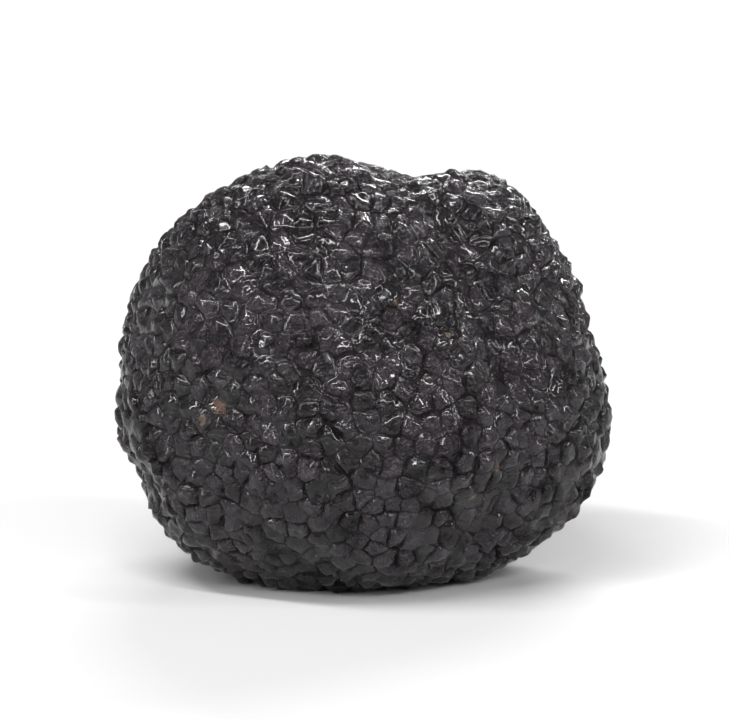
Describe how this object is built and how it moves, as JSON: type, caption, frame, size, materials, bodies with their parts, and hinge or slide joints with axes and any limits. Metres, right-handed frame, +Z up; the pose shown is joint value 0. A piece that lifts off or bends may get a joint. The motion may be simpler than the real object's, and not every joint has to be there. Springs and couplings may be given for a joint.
{
  "type": "black truffle",
  "caption": "Whole black truffle: a rounded, slightly lobed body with shallow hollows, covered all over in low many-sided warts, lying on a small flat spot.",
  "frame": {"origin": "on the surface that the truffle lies on, under the middle of its box", "axes": "+X to the right along the longest extent, -Y towards the viewer of the picture, +Z up along the shortest extent"},
  "size_m": [0.036, 0.033, 0.031],
  "materials": {
    "skin": "wet, black, finely warted"
  },
  "bodies": {
    "root": {"truffle": "skin"}
  },
  "joints": []
}
